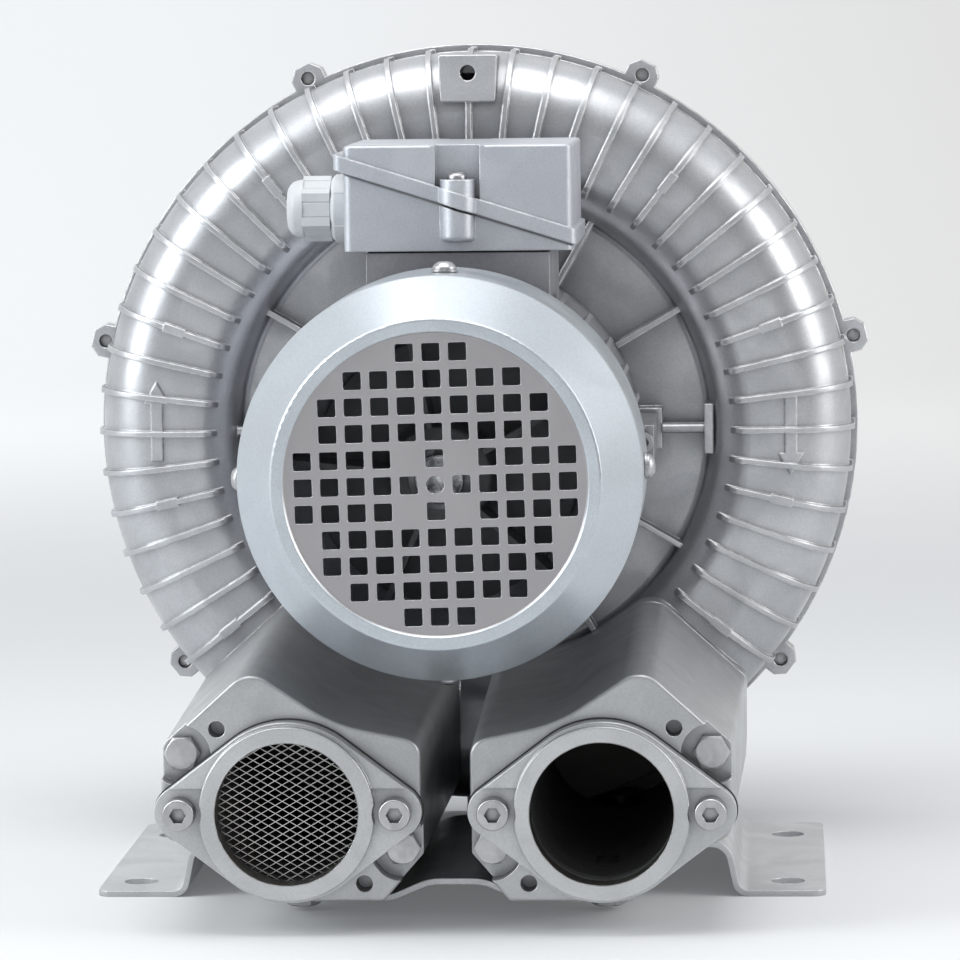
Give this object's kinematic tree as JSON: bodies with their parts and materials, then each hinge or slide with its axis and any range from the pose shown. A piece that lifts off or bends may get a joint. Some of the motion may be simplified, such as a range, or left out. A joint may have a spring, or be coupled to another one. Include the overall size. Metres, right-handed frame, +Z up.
{
  "type": "side channel blower",
  "caption": "Side channel blower with a ribbed ring casing, two silencers with flanged ports, a direct-drive motor with a grilled fan cowl and a bent base sheet.",
  "frame": {"origin": "centre of the foot-hole pattern on the floor, at the underside of the feet", "axes": "+Z up; Y along the motor shaft, with the ports, silencers and fan cowl towards -Y; +X to the right seen from the ports"},
  "size_m": [0.3506, 0.3444, 0.3565],
  "materials": {
    "casting_paint": "satin silver paint on cast aluminium",
    "motor_paint": "satin silver-grey paint on cast aluminium",
    "cowl_paint": "silver-blue metallic paint",
    "box_paint": "satin silver-grey paint on cast aluminium",
    "base_paint": "silver paint on bent sheet",
    "flange_aluminium": "machined and blasted",
    "bare_aluminium": "as cast and machined",
    "zinc_steel": "zinc plated",
    "bright_steel": "turned and ground",
    "spring_steel": "oiled spring steel",
    "bearing_steel": "polished",
    "core_steel": "laminated sheet, varnished",
    "copper_enamel": "enamelled copper wire",
    "brass": "bright",
    "fan_plastic": "moulded light grey",
    "cage_plastic": "moulded",
    "board_plastic": "moulded",
    "gland_plastic": "moulded light grey",
    "gasket": "fibre and rubber sheet",
    "seal_rubber": "moulded",
    "foam": "open-cell sound foam",
    "screen_wire": "bright stainless mesh"
  },
  "bodies": {
    "frame": {"channel_casing": "casting_paint", "channel_cover": "casting_paint", "silencer_left": "casting_paint", "silencer_right": "casting_paint", "port_flange_left": "flange_aluminium", "port_flange_right": "flange_aluminium", "flange_gaskets": "gasket", "silencer_gaskets": "gasket", "box_gasket": "gasket", "lid_gasket": "gasket", "cover_screws": "zinc_steel", "silencer_bolts": "zinc_steel", "flange_screws": "zinc_steel", "motor_bolts": "zinc_steel", "shield_screws": "zinc_steel", "cowl_screws": "zinc_steel", "cowl_washers": "zinc_steel", "lid_screws": "zinc_steel", "box_screws": "zinc_steel", "base_screws": "zinc_steel", "preload_washer": "spring_steel", "stator_core": "core_steel", "stator_winding": "copper_enamel", "motor_housing": "motor_paint", "rear_end_shield": "motor_paint", "fan_cowl": "cowl_paint", "drive_bearing_outer": "bearing_steel", "rear_bearing_outer": "bearing_steel", "shaft_seal": "seal_rubber", "gland_seal": "seal_rubber", "terminal_box": "box_paint", "terminal_lid": "box_paint", "terminal_board": "board_plastic", "terminal_studs": "brass", "terminal_links": "brass", "gland_body": "gland_plastic", "gland_cap": "gland_plastic", "gland_locknut": "gland_plastic", "foam_liner_left": "foam", "foam_liner_right": "foam", "inlet_screen": "screen_wire", "base_plate": "base_paint"},
    "rotor": {"motor_shaft": "bright_steel", "rotor_core": "core_steel", "impeller": "bare_aluminium", "impeller_key": "bright_steel", "impeller_washer": "zinc_steel", "impeller_screw": "zinc_steel", "drive_bearing_inner": "bearing_steel", "rear_bearing_inner": "bearing_steel", "cooling_fan": "fan_plastic", "fan_circlip": "spring_steel"},
    "drive_cage": {"drive_bearing_balls": "bearing_steel", "drive_bearing_cage": "cage_plastic"},
    "rear_cage": {"rear_bearing_balls": "bearing_steel", "rear_bearing_cage": "cage_plastic"}
  },
  "joints": [
    {"name": "rotor_spin", "type": "hinge", "parent": "frame", "child": "rotor", "pos_m": [0, 0, 0.186], "axis": [0, 1, 0], "continuous": true},
    {"name": "drive_cage_spin", "type": "hinge", "parent": "frame", "child": "drive_cage", "pos_m": [0, 0, 0.186], "axis": [0, 1, 0], "continuous": true},
    {"name": "rear_cage_spin", "type": "hinge", "parent": "frame", "child": "rear_cage", "pos_m": [0, 0, 0.186], "axis": [0, 1, 0], "continuous": true}
  ],
  "couplings": [
    {"joint": "drive_cage_spin", "follows": "rotor_spin", "ratio": 0.4},
    {"joint": "rear_cage_spin", "follows": "rotor_spin", "ratio": 0.4}
  ]
}
